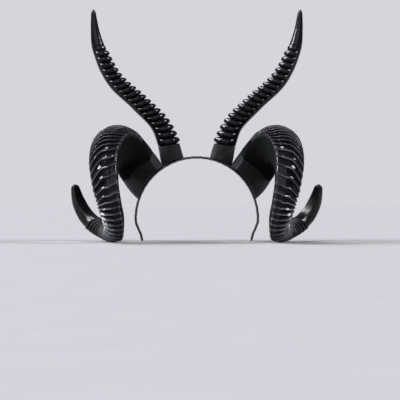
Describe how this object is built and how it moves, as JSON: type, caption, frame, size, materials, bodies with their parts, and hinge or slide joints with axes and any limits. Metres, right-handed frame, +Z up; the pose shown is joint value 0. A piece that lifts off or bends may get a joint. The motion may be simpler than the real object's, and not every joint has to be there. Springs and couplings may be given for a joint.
{
  "type": "ram horns headband",
  "caption": "Black costume headband: a satin-covered hoop with tall ringed antelope horns near its crown and curled ram horns at its sides, each horn seated in a felt cup.",
  "frame": {"origin": "under the middle of the whole headband, on the surface that it stands on", "axes": "+X towards the wearer's right, +Y the way the wearer faces, +Z up"},
  "size_m": [0.3158, 0.1454, 0.2863],
  "materials": {
    "gloss_black_horn": "moulded horn under a glossy black coat, with low rounded rings",
    "black_felt": "thin matt black craft felt with a lightly frayed top edge",
    "black_satin": "black satin ribbon wound over a thin hoop"
  },
  "bodies": {
    "root": {"hair_band": "black_satin", "tall_horn_right": "gloss_black_horn", "tall_horn_left": "gloss_black_horn", "ram_horn_right": "gloss_black_horn", "ram_horn_left": "gloss_black_horn", "tall_felt_cup_right": "black_felt", "tall_felt_cup_left": "black_felt", "ram_felt_cup_right": "black_felt", "ram_felt_cup_left": "black_felt"}
  },
  "joints": []
}
